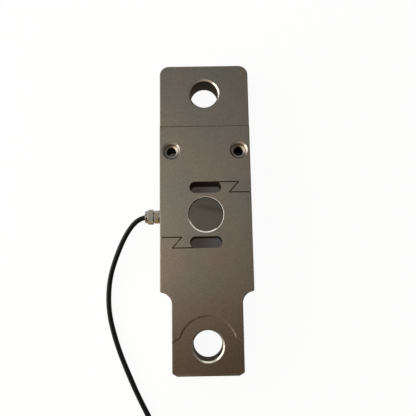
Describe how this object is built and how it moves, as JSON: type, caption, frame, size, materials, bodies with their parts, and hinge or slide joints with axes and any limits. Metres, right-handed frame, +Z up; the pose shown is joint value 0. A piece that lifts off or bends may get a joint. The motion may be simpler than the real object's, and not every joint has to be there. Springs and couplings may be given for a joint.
{
  "type": "strain gauge load cell",
  "caption": "Flat steel tension load cell with a pin bore at each end, wire-cut relief slots, a covered gauge recess and a side cable gland with its cable.",
  "frame": {"origin": "centre of the gauge recess, on the plate's back plane, which the part rests on", "axes": "+X across the plate, away from the cable gland; +Y along the plate towards the upper bore; +Z up, out of the front face"},
  "size_m": [0.1964, 0.4574, 0.03],
  "materials": {
    "nickel_plated_steel": "satin electroless nickel on a fine blasted surface, warm grey",
    "cover_steel": "smooth matt nickel, a little darker than the plate",
    "gasket_rubber": "matt black rubber",
    "gauge_film": "amber film",
    "gauge_alloy": "etched foil",
    "copper": "bare drawn wire",
    "strip_laminate": "glass-fibre laminate",
    "board_laminate": "green lacquered laminate",
    "resistor_body": "dark ceramic chip",
    "wire_insulation": "clear yellowish insulation",
    "red_insulation": "smooth",
    "black_insulation": "smooth",
    "green_insulation": "smooth",
    "white_insulation": "smooth",
    "shield_insulation": "smooth yellow sleeve over the screen's braid",
    "nickel_plated_brass": "bright nickel plating",
    "claw_nylon": "natural nylon",
    "cable_jacket": "matt black jacket",
    "sleeve_film": "shrunk black sleeve",
    "tinned_copper": "solder-dipped strands"
  },
  "bodies": {
    "root": {"sensing_element": "nickel_plated_steel", "front_cover": "cover_steel", "rear_cover": "cover_steel", "front_gasket": "gasket_rubber", "rear_gasket": "gasket_rubber", "front_gauge_backing": "gauge_film", "rear_gauge_backing": "gauge_film", "front_gauge_foil": "gauge_alloy", "rear_gauge_foil": "gauge_alloy", "front_gauge_leads": "copper", "rear_gauge_leads": "copper", "front_terminal_strip": "strip_laminate", "rear_terminal_strip": "strip_laminate", "trimming_board": "board_laminate", "trimming_resistors": "resistor_body", "front_bridge_wires": "wire_insulation", "rear_bridge_wires": "wire_insulation", "red_core": "red_insulation", "black_core": "black_insulation", "green_core": "green_insulation", "white_core": "white_insulation", "gland_washer": "nickel_plated_brass", "gland_body": "nickel_plated_brass", "gland_nut": "nickel_plated_brass", "gland_claw": "claw_nylon", "gland_seal": "gasket_rubber", "cable_inner_end": "cable_jacket", "cable_tube": "cable_jacket", "cable_coil": "cable_jacket", "cable_tail": "cable_jacket", "end_sleeve": "sleeve_film", "red_lead": "red_insulation", "black_lead": "black_insulation", "shield_lead": "shield_insulation", "green_lead": "green_insulation", "white_lead": "white_insulation", "lead_tips": "tinned_copper"}
  },
  "joints": []
}
